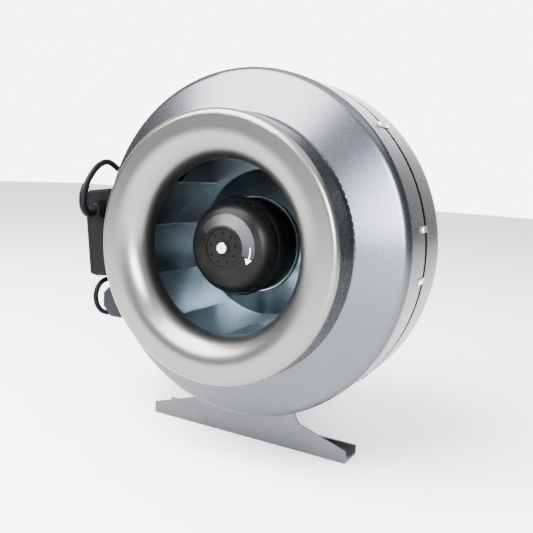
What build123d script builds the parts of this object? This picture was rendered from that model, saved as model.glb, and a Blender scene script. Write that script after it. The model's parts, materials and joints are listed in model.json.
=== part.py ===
"""Inline duct fan for 250 mm duct: steel casing on a foot, external-rotor motor with a
backward-curved impeller, junction box, run capacitor, motor lead and mains lead.

Frame: millimetres, +Z up. The fan's axis is parallel to Y, the inlet faces -Y and the outlet +Y.
The origin is on the foot's mounting face, under the middle of the casing.
"""
from build123d import *
from math import cos, pi, radians, sin, tan
import os

os.makedirs("parts", exist_ok=True)

# ---------------------------------------------------------------- driving dimensions
axis_height = 201.2         # fan axis above the foot's mounting face
half_length = 102.7         # casing, from its middle to either end
duct_radius = 124.5         # spigots, outside, for 250 mm duct
casing_radius = 167.8       # casing rim, outside
collar_length = 35.2        # spigot from the casing's end to its root
cone_angle = 23.6           # casing shoulder, leaning back from a flat face
rim_bend = 10.0             # outside bend between shoulder and rim
sheet = 1.0                 # casing sheet
seam_gap = 7.0              # open seam between the two half shells
lip_reach = 16.0            # outlet half's lip under the inlet half's rim

throat_radius = 82.0        # inlet nozzle at its narrowest
nozzle_edge = 5.9           # bend at the nozzle's outer edge
nozzle_roll = 26.0          # roll of the bell mouth into the throat
nozzle_depth = 30.0         # nozzle from the inlet's face to its end

blade_count = 11
blade_inner = 85.2          # leading edges
blade_outer = 119.0         # trailing edges
blade_sweep = 38.0          # degrees from leading to trailing edge
blade_start = 6.8           # first leading edge, degrees from +X towards +Z
impeller_sheet = 1.2
backplate_at = 4.8          # front face of the flat back plate, from the casing's middle
impeller_radius = 121.0

can_radius = 46.4           # rotor can, outside
shaft_radius = 4.0
cage_inner = 38.0
stator_radius = 37.4
bearing_radius = 11.0
motor_flange_radius = 44.0

rivet_radius = 1.5
rivet_head = 2.8
rivet_tail = 2.6
rivet_rise = 1.3
hole_slack = 0.1

motor_lead_radius = 3.25    # motor's lead
mains_lead_radius = 2.9     # mains lead

# ---------------------------------------------------------------- frame helpers
fan_axis = Axis((0, 0, axis_height), (0, 1, 0))
# Profiles: local x runs along the fan's axis towards the outlet, local y is the radius.
profile_plane = Plane(origin=(0, 0, axis_height), x_dir=(0, 1, 0), z_dir=(1, 0, 0))


def cross_plane(along, angle=0.0):
    """Plane across the fan's axis, facing the inlet: local x points to `angle`, from +X to +Z."""
    sideways = (cos(radians(angle)), 0, sin(radians(angle)))
    return Plane(origin=(0, along, axis_height), x_dir=sideways, z_dir=(0, -1, 0))


def around(radius, angle, along):
    """Point at a radius and an angle (degrees from +X towards +Z) around the fan's axis."""
    return Vector(radius * cos(radians(angle)), along, axis_height + radius * sin(radians(angle)))


def radial_plane(radius, angle, along):
    """Plane on a cylinder around the fan's axis, facing outwards: local x is along the axis."""
    outward = (cos(radians(angle)), 0, sin(radians(angle)))
    return Plane(origin=around(radius, angle, along), x_dir=(0, 1, 0), z_dir=outward)


def keep(builder, label):
    """Label a finished sub-part and write its STEP file."""
    builder.part.label = label
    export_step(builder.part, f"parts/{label}.step")


def rivet_group(places):
    """Round-head rivets around the casing. A place is (angle, along, seat of the head, grip)."""
    with BuildPart() as rivets:
        for angle, along, seat, grip in places:
            inner_end = radial_plane(seat - grip - rivet_rise - 0.04, angle, along)
            with BuildSketch(inner_end):
                Circle(rivet_radius)
            extrude(amount=grip + rivet_rise + 0.04)
            with BuildSketch(inner_end):
                Circle(rivet_tail)
            extrude(amount=rivet_rise)
            with BuildSketch(radial_plane(seat, angle, along)):
                Circle(rivet_head)
            extrude(amount=rivet_rise, taper=30)
    return rivets


def rivet_holes(places):
    """Cutters for the rivets' holes."""
    with BuildPart() as cutters:
        for angle, along, seat, grip in places:
            with BuildSketch(radial_plane(seat - grip - rivet_rise, angle, along)):
                Circle(rivet_radius + hole_slack)
            extrude(amount=grip + 2 * rivet_rise)
    return cutters.part


# ---------------------------------------------------------------- fastening places
slip = 0.1                  # gap where one sheet lies on another
skin = casing_radius - sheet
lip_radius = skin - 0.2     # outlet half's lip, outside
lip_inner = lip_radius - sheet
support_sheet = 2.0
arm_reach = skin - 0.15
support_angles = [45.5, 135.5, 225.5, 315.5]

clip_sheet = 0.8
clip_reach = 11.5
clip_seat = casing_radius + clip_sheet
clip_angles = [-6.0, 10.0, 45.5, 90.5, 135.5, 225.5, 315.5]
clip_rivets = [(angle, -clip_reach, clip_seat, clip_seat - lip_inner) for angle in clip_angles]
arm_rivet_along = 11.5
arm_rivet_seat = casing_radius
arm_rivets = [(angle, arm_rivet_along, arm_rivet_seat, arm_rivet_seat - arm_reach + support_sheet)
              for angle in support_angles]

foot_sheet = 2.0
foot_front = -20.3          # front face of the foot's upright web
foot_back = 10.7
saddle_inner = casing_radius + slip
saddle_seat = saddle_inner + foot_sheet
saddle_rivets = []
for angle in (258.0, 270.0, 282.0):
    saddle_rivets.append((angle, -12.0, saddle_seat, saddle_seat - lip_inner))
    saddle_rivets.append((angle, 7.2, saddle_seat, saddle_seat - skin))

box_angle = 187.0           # junction box, leaning 7 degrees round the casing
bracket_sheet = 1.5
bracket_slip = 0.25
bracket_seat = casing_radius + bracket_slip + bracket_sheet
bracket_rivets = []
for angle in (164.6, 197.6):
    bracket_rivets.append((angle, -13.5, bracket_seat, bracket_seat - lip_inner))
    bracket_rivets.append((angle, 26.0, bracket_seat, bracket_seat - skin))

cap_angle = 205.8           # run capacitor, below the junction box
strap_sheet = 1.0
strap_along = 14.0
strap_width = 16.0
strap_seat = casing_radius + slip + strap_sheet
strap_rivets = [(216.5, strap_along + step, strap_seat, strap_seat - skin) for step in (-3.9, 3.9)]

clip_cutters = rivet_holes(clip_rivets)
arm_cutters = rivet_holes(arm_rivets)
saddle_cutters = rivet_holes(saddle_rivets)
bracket_cutters = rivet_holes(bracket_rivets)
strap_cutters = rivet_holes(strap_rivets)

grommet_angle = 159.3       # the motor's lead leaves the casing here
grommet_along = 33.0
grommet_hole = 6.0

# ---------------------------------------------------------------- casing
cone_rise = (casing_radius - duct_radius) * tan(radians(cone_angle))
collar_root = half_length - collar_length
cone_top = collar_root - cone_rise
root_bend = 2.5

with BuildPart() as inlet_casing:
    with BuildSketch(profile_plane):
        with BuildLine():
            FilletPolyline(
                (-half_length + nozzle_edge + 0.15, duct_radius),
                (-collar_root, duct_radius),
                (-cone_top, casing_radius),
                (-seam_gap / 2, casing_radius),
                radius=[root_bend, rim_bend],
            )
            offset(amount=sheet, side=Side.RIGHT)
        make_face()
    revolve(axis=fan_axis)
    add([clip_cutters, saddle_cutters, bracket_cutters], mode=Mode.SUBTRACT)
keep(inlet_casing, "inlet_casing")

joggle = 1.2
with BuildPart() as outlet_casing:
    with BuildSketch(profile_plane):
        with BuildLine():
            FilletPolyline(
                (half_length, duct_radius),
                (collar_root, duct_radius),
                (cone_top, casing_radius),
                (seam_gap / 2, casing_radius),
                radius=[root_bend, rim_bend],
            )
            Polyline(
                (seam_gap / 2, casing_radius),
                (seam_gap / 2 - joggle, lip_radius),
                (-lip_reach, lip_radius),
            )
            offset(amount=sheet, side=Side.LEFT)
        make_face()
    revolve(axis=fan_axis)
    add([clip_cutters, arm_cutters, saddle_cutters, bracket_cutters, strap_cutters], mode=Mode.SUBTRACT)
    with BuildSketch(radial_plane(casing_radius - 5, grommet_angle, grommet_along)):
        Circle(grommet_hole)
    extrude(amount=10, mode=Mode.SUBTRACT)
keep(outlet_casing, "outlet_casing")

skirt_length = 13.0
with BuildPart() as inlet_nozzle:
    with BuildSketch(profile_plane):
        with BuildLine():
            FilletPolyline(
                (-half_length + nozzle_edge + 0.05, duct_radius),
                (-half_length, duct_radius),
                (-half_length, throat_radius),
                (-half_length + nozzle_depth, throat_radius),
                radius=[nozzle_edge, nozzle_roll],
            )
            offset(amount=sheet, side=Side.LEFT)
        make_face()
    revolve(axis=fan_axis)
    # The skirt plugs into the spigot.
    with BuildSketch(profile_plane):
        with Locations((-half_length + 2.8, duct_radius - sheet - 1.1)):
            Rectangle(skirt_length, 1.05, align=(Align.MIN, Align.MIN))
    revolve(axis=fan_axis)
keep(inlet_nozzle, "inlet_nozzle")

band_height = 0.7
with BuildPart() as seam_band:
    with BuildSketch(profile_plane):
        with Locations((-seam_gap / 2 + 0.1, lip_radius + 0.02)):
            Rectangle(seam_gap - joggle - 0.4, band_height, align=(Align.MIN, Align.MIN))
    revolve(axis=fan_axis)
keep(seam_band, "seam_band")

clip_width = 6.0
clip_front = -15.5
clip_back = 3.2
with BuildPart() as seam_clips:
    for angle in clip_angles:
        with BuildSketch(radial_plane(casing_radius - 0.4, angle, (clip_front + clip_back) / 2)):
            RectangleRounded(clip_back - clip_front, clip_width, 1.5)
        extrude(amount=clip_sheet + 1.2)
    with BuildSketch(profile_plane):
        with Locations((0, casing_radius + 0.02)):
            Rectangle(40, clip_sheet - 0.02, align=(Align.CENTER, Align.MIN))
    revolve(axis=fan_axis, mode=Mode.INTERSECT)
    add(clip_cutters, mode=Mode.SUBTRACT)
keep(seam_clips, "seam_clips")

keep(rivet_group(clip_rivets), "seam_rivets")

keep(rivet_group(arm_rivets), "arm_rivets")

# ---------------------------------------------------------------- foot
foot_half_width = 113.5
foot_end_height = 12.9
foot_slot_at = 97.0
foot_slot_length = 20.0
foot_slot_width = 7.0
foot_middle = (foot_front + foot_back) / 2
rear_lip_height = 9.6
saddle_half_width = 54.0
shoulder_x = 62.0
shoulder_z = 28.9

with BuildPart() as foot_bracket:
    # Upright web, cut round to the casing.
    with BuildSketch(Plane(origin=(0, foot_front, 0), x_dir=(1, 0, 0), z_dir=(0, -1, 0))):
        with BuildLine():
            FilletPolyline(
                (-foot_half_width, 0),
                (-foot_half_width, foot_end_height),
                (-shoulder_x, shoulder_z),
                (-saddle_half_width, 46),
                (saddle_half_width, 46),
                (shoulder_x, shoulder_z),
                (foot_half_width, foot_end_height),
                (foot_half_width, 0),
                radius=[1.2, 7, 0.5, 0.5, 7, 1.2],
            )
            Line((foot_half_width, 0), (-foot_half_width, 0))
        make_face()
        with Locations((0, axis_height)):
            Circle(saddle_inner + foot_sheet / 2, mode=Mode.SUBTRACT)
    extrude(amount=-foot_sheet)
    # Saddle under the casing, bent back from the web.
    with BuildSketch(cross_plane(foot_front)):
        Circle(saddle_seat)
        Circle(saddle_inner, mode=Mode.SUBTRACT)
        with Locations((0, -casing_radius)):
            Rectangle(2 * saddle_half_width, 60, mode=Mode.INTERSECT)
    extrude(amount=foot_front - foot_back)
    # Base and the stiffening lip behind it.
    with BuildSketch(Plane.XY):
        with Locations((0, foot_middle)):
            Rectangle(2 * foot_half_width, foot_back - foot_front)
        with Locations((-foot_slot_at, foot_middle), (foot_slot_at, foot_middle)):
            SlotOverall(foot_slot_length, foot_slot_width, mode=Mode.SUBTRACT)
    extrude(amount=foot_sheet)
    with BuildSketch(Plane(origin=(0, foot_back, 0), x_dir=(1, 0, 0), z_dir=(0, -1, 0))):
        with Locations((0, rear_lip_height / 2)):
            Rectangle(2 * foot_half_width, rear_lip_height)
    extrude(amount=foot_sheet)
    bends = foot_bracket.edges().filter_by(Axis.X).group_by(Axis.Z)[0]
    fillet(bends.sort_by(Axis.Y)[0], 2.2)
    fillet(foot_bracket.edges().filter_by(Axis.X).group_by(Axis.Z)[0].sort_by(Axis.Y)[-1], 1.6)
    fillet(foot_bracket.edges().filter_by(Axis.Y).filter_by(
        lambda e: abs(abs(e.center().X) - foot_half_width) < 0.1 and e.center().Z > rear_lip_height - 0.2), 1.5)
    add(saddle_cutters, mode=Mode.SUBTRACT)
keep(foot_bracket, "foot_bracket")

keep(rivet_group(saddle_rivets), "foot_rivets")

# ---------------------------------------------------------------- motor, still parts
support_front = 16.3        # front face of the motor support's plate
support_back = support_front + support_sheet
support_plate_radius = 52.0
arm_width = 24.0
arm_flange = 7.0
arm_flange_sheet = 1.5
arm_flange_end = 112.0
foot_of_arm = 5.6           # where an arm's foot ends, towards the inlet
screw_circle = 32.0
screw_count = 4
lead_out_radius = 24.0      # the motor's lead leaves through the flange here
lead_out_angle = support_angles[1]
lead_out_hole = 3.9

with BuildPart() as motor_support:
    with BuildSketch(cross_plane(support_front)):
        Circle(support_plate_radius)
        for angle in support_angles:
            Rectangle(arm_reach + 3, arm_width, rotation=angle, align=(Align.MIN, Align.CENTER))
        Circle(16, mode=Mode.SUBTRACT)
        with PolarLocations(screw_circle, screw_count):
            Circle(2.1, mode=Mode.SUBTRACT)
        with PolarLocations(lead_out_radius, 1, start_angle=lead_out_angle):
            Circle(lead_out_hole, mode=Mode.SUBTRACT)
    extrude(amount=-support_sheet)
    for angle in support_angles:
        arm_plane = cross_plane(support_back, angle)
        # Edge flanges make each arm a channel that is open to the outlet.
        with BuildSketch(arm_plane):
            for side in (1, -1):
                with Locations((support_plate_radius - 5, side * (arm_width - arm_flange_sheet) / 2)):
                    Rectangle(arm_flange_end - support_plate_radius, arm_flange_sheet,
                              align=(Align.MIN, Align.CENTER))
        extrude(amount=-arm_flange)
        # Foot of the arm, bent forward along the rim.
        with BuildSketch(arm_plane):
            with Locations((arm_reach - 5, 0)):
                Rectangle(16, arm_width, align=(Align.MIN, Align.CENTER))
        extrude(amount=support_back - foot_of_arm)
    with BuildSketch(profile_plane):
        with Locations((foot_of_arm - 5, 0)):
            Rectangle(40, arm_reach, align=(Align.MIN, Align.MIN))
    revolve(axis=fan_axis, mode=Mode.INTERSECT)
    with BuildSketch(profile_plane):
        with Locations((foot_of_arm - 5, 60)):
            Rectangle(support_front - foot_of_arm + 5, arm_reach - support_sheet - 60,
                      align=(Align.MIN, Align.MIN))
    revolve(axis=fan_axis, mode=Mode.SUBTRACT)
    add(arm_cutters, mode=Mode.SUBTRACT)
keep(motor_support, "motor_support")

flange_front = 11.3
tube_front = -54.0
tube_wall = 4.0
with BuildPart() as motor_flange:
    with BuildSketch(profile_plane):
        with Locations((flange_front, bearing_radius)):
            Rectangle(support_front - flange_front, motor_flange_radius - bearing_radius,
                      align=(Align.MIN, Align.MIN))
        with Locations((tube_front, bearing_radius)):
            Rectangle(support_front - tube_front, tube_wall, align=(Align.MIN, Align.MIN))
    revolve(axis=fan_axis)
    with BuildSketch(cross_plane(flange_front)):
        with PolarLocations(screw_circle, screw_count):
            Circle(2.1)
        with PolarLocations(lead_out_radius, 1, start_angle=lead_out_angle):
            Circle(lead_out_hole)
    extrude(amount=flange_front - support_front, mode=Mode.SUBTRACT)
keep(motor_flange, "motor_flange")

with BuildPart() as motor_screws:
    for index in range(screw_count):
        head_centre = around(screw_circle, index * 360 / screw_count, support_back)
        head_plane = Plane(origin=head_centre, x_dir=(1, 0, 0), z_dir=(0, 1, 0))
        with BuildSketch(head_plane):
            Circle(3.5)
            RegularPolygon(1.5, 6, mode=Mode.SUBTRACT)
        extrude(amount=2.6)
        with BuildSketch(head_plane):
            Circle(3.5)
        extrude(amount=0.6)
        with BuildSketch(head_plane):
            Circle(2.0)
        extrude(amount=-6.4)
keep(motor_screws, "motor_screws")

core_front = -40.7
core_back = -4.7
slot_count = 12
with BuildPart() as stator_core:
    with BuildSketch(cross_plane(core_front)):
        Circle(stator_radius)
        Circle(bearing_radius + tube_wall + 0.02, mode=Mode.SUBTRACT)
        with PolarLocations(30, slot_count):
            SlotOverall(11, 5, mode=Mode.SUBTRACT)
        with PolarLocations(36.5, slot_count):
            Rectangle(4, 1.6, mode=Mode.SUBTRACT)
    extrude(amount=core_front - core_back)
keep(stator_core, "stator_core")

with BuildPart() as stator_windings:
    for first, last in ((core_front - 11.5, core_front - 0.3), (core_back + 0.3, core_back + 10.5)):
        with BuildSketch(profile_plane):
            with Locations(((first + last) / 2, 27.5)):
                RectangleRounded(last - first, 14, 3.5)
        revolve(axis=fan_axis)
keep(stator_windings, "stator_windings")


def ball_bearing(first):
    """A sealed 608 bearing between the shaft and the tube."""
    width = 7.0
    with BuildPart() as bearing:
        with BuildSketch(profile_plane):
            with Locations((first + width / 2, (bearing_radius + shaft_radius) / 2)):
                Rectangle(width, bearing_radius - shaft_radius - 0.08)
            with Locations((first, 7.6), (first + width, 7.6)):
                Rectangle(0.8, 3.4, mode=Mode.SUBTRACT)
        revolve(axis=fan_axis)
    return bearing


bearing_front_at = -52.5
bearing_rear_at = 1.0
bearing_front = ball_bearing(bearing_front_at)
keep(bearing_front, "bearing_front")
bearing_rear = ball_bearing(bearing_rear_at)
keep(bearing_rear, "bearing_rear")

# ---------------------------------------------------------------- motor, turning parts
shaft_front = -80.7
shaft_head_radius = 5.0
nose_front = -78.1          # front edge of the rotor can
clip_at = bearing_rear_at + 7.3
with BuildPart() as rotor_shaft:
    with BuildSketch(profile_plane):
        with Locations((shaft_front, 0)):
            Rectangle(clip_at + 3.2 - shaft_front, shaft_radius, align=(Align.MIN, Align.MIN))
        with Locations((clip_at, shaft_radius - 0.4)):
            Rectangle(0.9, 0.4, align=(Align.MIN, Align.MIN), mode=Mode.SUBTRACT)
        with Locations((shaft_front, 0)):
            Rectangle(nose_front - 0.05 - shaft_front, shaft_head_radius, align=(Align.MIN, Align.MIN))
    revolve(axis=fan_axis)
    chamfer(rotor_shaft.edges().filter_by(GeomType.CIRCLE).sort_by(Axis.Y)[0], 0.6)
keep(rotor_shaft, "rotor_shaft")

with BuildPart() as shaft_clip:
    with BuildSketch(cross_plane(clip_at + 0.05)):
        Circle(6.2)
        Circle(shaft_radius - 0.35, mode=Mode.SUBTRACT)
        with Locations((0, -6)):
            Rectangle(4, 8, mode=Mode.SUBTRACT)
    extrude(amount=-0.8)
keep(shaft_clip, "shaft_clip")

nose_rim = 19.4
label_rim = 36.5
label_back = -69.8
shoulder_back = -53.0
shoulder = ThreePointArc((label_back, label_rim), (-63.2, 42.9), (shoulder_back, 45.6))
bead_length = 6.5
bead_rise = 1.0
dimple_count = 24
dimple_radius = 1.3
dimple_start = 4.0          # degrees from +X towards +Z
dimple_seat = shoulder @ 0.62
can_back = 9.3
can_wall = 2.4
hub_radius = 9.0
with BuildPart() as rotor_can:
    with BuildSketch(profile_plane):
        with BuildLine():
            Line((nose_front + 2.2, shaft_radius + 0.02), (nose_front + 2.2, nose_rim - 1.4))
            Line((nose_front + 2.2, nose_rim - 1.4), (nose_front, nose_rim - 1.4))
            Line((nose_front, nose_rim - 1.4), (nose_front, nose_rim))
            Line((nose_front, nose_rim), (label_back, label_rim))
            add(shoulder)
            ThreePointArc(shoulder @ 1, (shoulder_back + bead_length / 2, can_radius + bead_rise),
                          (shoulder_back + bead_length, can_radius))
            Line((shoulder_back + bead_length, can_radius), (can_back, can_radius))
            Line((can_back, can_radius), (can_back, can_radius - can_wall))
            Line((can_back, can_radius - can_wall), (shoulder_back + 2, can_radius - can_wall))
            ThreePointArc((shoulder_back + 2, can_radius - can_wall), (label_back + 9.0, 40.4),
                          (label_back + 3.4, label_rim - 2))
            Line((label_back + 3.4, label_rim - 2), (nose_front + 6.6, nose_rim))
            Line((nose_front + 6.6, nose_rim), (nose_front + 6.6, hub_radius))
            Line((nose_front + 6.6, hub_radius), (tube_front - 1.5, hub_radius))
            Line((tube_front - 1.5, hub_radius), (tube_front - 1.5, shaft_radius + 0.02))
            Line((tube_front - 1.5, shaft_radius + 0.02), (nose_front + 2.2, shaft_radius + 0.02))
        make_face()
    revolve(axis=fan_axis)
    # Dimples around the shoulder.
    for index in range(dimple_count):
        with Locations(around(dimple_seat.Y, index * 360 / dimple_count + dimple_start, dimple_seat.X)):
            Sphere(dimple_radius, mode=Mode.SUBTRACT)
keep(rotor_can, "rotor_can")

with BuildPart() as rotor_cage:
    with BuildSketch(profile_plane):
        with Locations((-44.7, cage_inner)):
            Rectangle(44, can_radius - can_wall - cage_inner - 0.02, align=(Align.MIN, Align.MIN))
    revolve(axis=fan_axis)
keep(rotor_cage, "rotor_cage")

cover_holes = 9
with BuildPart() as rotor_cover:
    with BuildSketch(cross_plane(nose_front + 2.2)):
        Circle(nose_rim - 1.5)
        Circle(shaft_radius + 0.05, mode=Mode.SUBTRACT)
        with PolarLocations(13.6, cover_holes, start_angle=12):
            Circle(1.25, mode=Mode.SUBTRACT)
    extrude(amount=1.2)
    with BuildSketch(cross_plane(nose_front + 1.0)):
        Circle(7)
        Circle(shaft_radius + 0.05, mode=Mode.SUBTRACT)
    extrude(amount=1.0)
keep(rotor_cover, "rotor_cover")

label_sheet = 0.3
cone_run = Vector(label_back - nose_front, label_rim - nose_rim).normalized()
cone_out = Vector(-cone_run.Y, cone_run.X)
label_inner = Vector(nose_front, nose_rim) + cone_run * 0.7
label_outer = Vector(label_back, label_rim) - cone_run * 0.5
with BuildPart() as rotor_label:
    with BuildSketch(profile_plane):
        with BuildLine():
            Polyline(
                label_inner + cone_out * 0.02,
                label_outer + cone_out * 0.02,
                label_outer + cone_out * label_sheet,
                label_inner + cone_out * label_sheet,
                close=True,
            )
        make_face()
    revolve(axis=fan_axis)
keep(rotor_label, "rotor_label")

# ---------------------------------------------------------------- impeller
neck_front = -16.2
neck_radius = can_radius + impeller_sheet
cone_foot = 75.0
with BuildPart() as impeller_backplate:
    with BuildSketch(profile_plane):
        with BuildLine():
            FilletPolyline(
                (neck_front, neck_radius),
                (neck_front + 3.5, neck_radius),
                (backplate_at, cone_foot),
                (backplate_at, impeller_radius),
                radius=[2, 3],
            )
            offset(amount=impeller_sheet, side=Side.RIGHT)
        make_face()
    revolve(axis=fan_axis)
keep(impeller_backplate, "impeller_backplate")

shroud_front = -79.0
shroud_turn = -66.5
shroud_back = -53.5
shroud_radius = blade_inner + 0.3
shroud_bend = 16.0
blade_front = -69.5
with BuildPart() as impeller_shroud:
    with BuildSketch(profile_plane):
        with BuildLine():
            FilletPolyline(
                (shroud_front, shroud_radius),
                (shroud_turn, shroud_radius),
                (shroud_back, impeller_radius),
                radius=shroud_bend,
            )
            offset(amount=impeller_sheet, side=Side.LEFT)
        make_face()
    revolve(axis=fan_axis)
keep(impeller_shroud, "impeller_shroud")


def on_circle(radius, angle):
    """Point in a cross plane, from its radius and its angle in degrees."""
    return (radius * cos(radians(angle)), radius * sin(radians(angle)))


with BuildPart() as impeller_blades:
    for index in range(blade_count):
        turn = blade_start + index * 360 / blade_count
        with BuildSketch(cross_plane(backplate_at - 0.02)):
            with BuildLine():
                ThreePointArc(
                    on_circle(blade_inner, turn),
                    on_circle((blade_inner + blade_outer) / 2 + 1.5, turn + blade_sweep * 0.55),
                    on_circle(blade_outer, turn + blade_sweep),
                )
                offset(amount=impeller_sheet, side=Side.LEFT)
            make_face()
        extrude(amount=80)
    with BuildSketch(profile_plane):
        with BuildLine():
            FilletPolyline(
                (shroud_front + 0.02, shroud_radius - 0.02),
                (shroud_turn + 0.02, shroud_radius - 0.02),
                (shroud_back + 0.02, impeller_radius),
                radius=shroud_bend,
            )
            Polyline(
                (shroud_back + 0.02, impeller_radius),
                (backplate_at, impeller_radius),
                (backplate_at, 60),
                (shroud_front + 0.02, 60),
                (shroud_front + 0.02, shroud_radius - 0.02),
            )
        make_face()
    revolve(axis=fan_axis, mode=Mode.INTERSECT)
    split(bisect_by=cross_plane(blade_front), keep=Keep.BOTTOM)
keep(impeller_blades, "impeller_blades")

with BuildPart() as balance_clips:
    for angle in (25.0, 155.0):
        clip_plane = cross_plane(backplate_at - 0.9, angle)
        with BuildSketch(clip_plane):
            with Locations((impeller_radius - 3, 0)):
                Rectangle(7.5, 6)
        extrude(amount=-(impeller_sheet + 1.8))
        with BuildSketch(cross_plane(backplate_at - 0.02, angle)):
            with Locations((impeller_radius - 8, 0)):
                Rectangle(16.04, 8)
        extrude(amount=-(impeller_sheet + 0.04), mode=Mode.SUBTRACT)
keep(balance_clips, "balance_clips")

# ---------------------------------------------------------------- junction box
box_front = -27.7           # front wall
box_length = 80.0
box_middle = box_front + box_length / 2
box_height = 97.8
box_rise = 16.7             # box centre above the radius at its angle
box_back = 176.0            # distance of the base's back from the fan's axis
base_depth = 31.0
lid_depth = 6.5
box_wall = 2.2
box_corner = 4.0


def box_plane(out):
    """Plane across the junction box, facing outwards: local x is along the fan's axis (+Y)
    and local y points up the box. `out` is measured from the fan's axis."""
    outward = Vector(cos(radians(box_angle)), 0, sin(radians(box_angle)))
    upward = Vector(sin(radians(box_angle)), 0, -cos(radians(box_angle)))
    origin = Vector(0, box_middle, axis_height) + outward * out + upward * box_rise
    return Plane(origin=origin, x_dir=(0, -1, 0), z_dir=outward)


def box_point(along, out, up):
    """Point by the box's own directions, from the middle of its outline."""
    return box_plane(out).from_local_coords(Vector(box_middle - along, up, 0))


def box_direction(along, out, up):
    """Direction by the box's own directions."""
    return box_point(along + box_middle, out, up) - box_point(box_middle, 0, 0)


gland_out = box_back + 15.0
gland_up = 26.0
mains_out = box_back + 20.0
mains_along = 22.0
gland_hole = 6.2
lid_screw_x = box_length / 2 - 8
lid_screw_y = box_height / 2 - 8
cap_hole_along = 43.0

front_wall_plane = Plane(origin=box_point(box_front, gland_out, gland_up), x_dir=box_direction(0, 1, 0),
                         z_dir=(0, -1, 0))
bottom_wall_plane = Plane(origin=box_point(mains_along, mains_out, -box_height / 2), x_dir=(0, 1, 0),
                          z_dir=box_direction(0, 0, -1))
cap_entry_plane = Plane(origin=box_point(cap_hole_along, gland_out - 4, -box_height / 2), x_dir=(0, 1, 0),
                        z_dir=box_direction(0, 0, -1))

with BuildPart() as box_base:
    with BuildSketch(box_plane(box_back)):
        RectangleRounded(box_length, box_height, box_corner)
    extrude(amount=base_depth)
    with BuildSketch(box_plane(box_back + box_wall)):
        RectangleRounded(box_length - 2 * box_wall, box_height - 2 * box_wall, box_corner - box_wall)
    extrude(amount=base_depth, mode=Mode.SUBTRACT)
    with BuildSketch(box_plane(box_back)):
        with GridLocations(2 * lid_screw_x, 2 * lid_screw_y, 2, 2):
            Rectangle(9, 9)
    extrude(amount=base_depth)
    with BuildSketch(box_plane(box_back + 12)):
        with GridLocations(2 * lid_screw_x, 2 * lid_screw_y, 2, 2):
            Circle(1.6)
    extrude(amount=base_depth, mode=Mode.SUBTRACT)
    with BuildSketch(front_wall_plane):
        Circle(gland_hole)
    extrude(amount=-2 * box_wall, mode=Mode.SUBTRACT)
    with BuildSketch(bottom_wall_plane):
        Circle(gland_hole)
    extrude(amount=-2 * box_wall, mode=Mode.SUBTRACT)
    with BuildSketch(cap_entry_plane):
        Circle(2.2)
    extrude(amount=-2 * box_wall, mode=Mode.SUBTRACT)
    # Two fixing holes through the back.
    with BuildSketch(box_plane(box_back)):
        with Locations((0, 30), (0, -30)):
            Circle(2.2)
    extrude(amount=box_wall, mode=Mode.SUBTRACT)
keep(box_base, "box_base")

gasket_depth = 0.8
with BuildPart() as box_gasket:
    with BuildSketch(box_plane(box_back + base_depth + 0.02)):
        RectangleRounded(box_length - 0.8, box_height - 0.8, box_corner - 0.4)
        RectangleRounded(box_length - 2 * box_wall, box_height - 2 * box_wall, 1, mode=Mode.SUBTRACT)
        with GridLocations(2 * lid_screw_x, 2 * lid_screw_y, 2, 2):
            Rectangle(12, 12)
            Circle(2.0, mode=Mode.SUBTRACT)
    extrude(amount=gasket_depth - 0.04)
keep(box_gasket, "box_gasket")

lid_back = box_back + base_depth + gasket_depth
with BuildPart() as box_lid:
    with BuildSketch(box_plane(lid_back)):
        RectangleRounded(box_length - 1.0, box_height - 3.0, box_corner)
    extrude(amount=lid_depth - gasket_depth)
    fillet(box_lid.faces().sort_by(lambda f: f.center().X)[0].edges(), 1.6)
    with BuildSketch(box_plane(lid_back)):
        RectangleRounded(box_length - 6, box_height - 8, 2)
        with GridLocations(2 * lid_screw_x, 2 * lid_screw_y, 2, 2):
            Rectangle(13, 13, mode=Mode.SUBTRACT)
    extrude(amount=lid_depth - gasket_depth - box_wall, mode=Mode.SUBTRACT)
    with BuildSketch(box_plane(lid_back)):
        with GridLocations(2 * lid_screw_x, 2 * lid_screw_y, 2, 2):
            Circle(1.9)
    extrude(amount=lid_depth, mode=Mode.SUBTRACT)
    with BuildSketch(box_plane(lid_back + lid_depth - gasket_depth - 2.6)):
        with GridLocations(2 * lid_screw_x, 2 * lid_screw_y, 2, 2):
            Circle(3.6)
    extrude(amount=lid_depth, mode=Mode.SUBTRACT)
keep(box_lid, "box_lid")

lid_screw_seat = lid_back + lid_depth - gasket_depth - 2.6
with BuildPart() as box_lid_screws:
    with BuildSketch(box_plane(lid_screw_seat)):
        with GridLocations(2 * lid_screw_x, 2 * lid_screw_y, 2, 2):
            Circle(3.3)
    extrude(amount=2.2)
    with BuildSketch(box_plane(lid_screw_seat + 1.2)):
        with GridLocations(2 * lid_screw_x, 2 * lid_screw_y, 2, 2):
            Rectangle(4.6, 0.9)
            Rectangle(0.9, 4.6)
    extrude(amount=2, mode=Mode.SUBTRACT)
    with BuildSketch(box_plane(lid_screw_seat)):
        with GridLocations(2 * lid_screw_x, 2 * lid_screw_y, 2, 2):
            Circle(1.5)
    extrude(amount=-14)
keep(box_lid_screws, "box_lid_screws")

# Sheet bracket: a flat plate behind the box, a leg at each end and a foot on the casing.
plate_width = 56.0
plate_half = 38.0
foot_spans = ((162.4, 166.8), (195.2, 200.0))


def across(point):
    """A point's place in a cross plane."""
    return (point.X, point.Z - axis_height)


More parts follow.
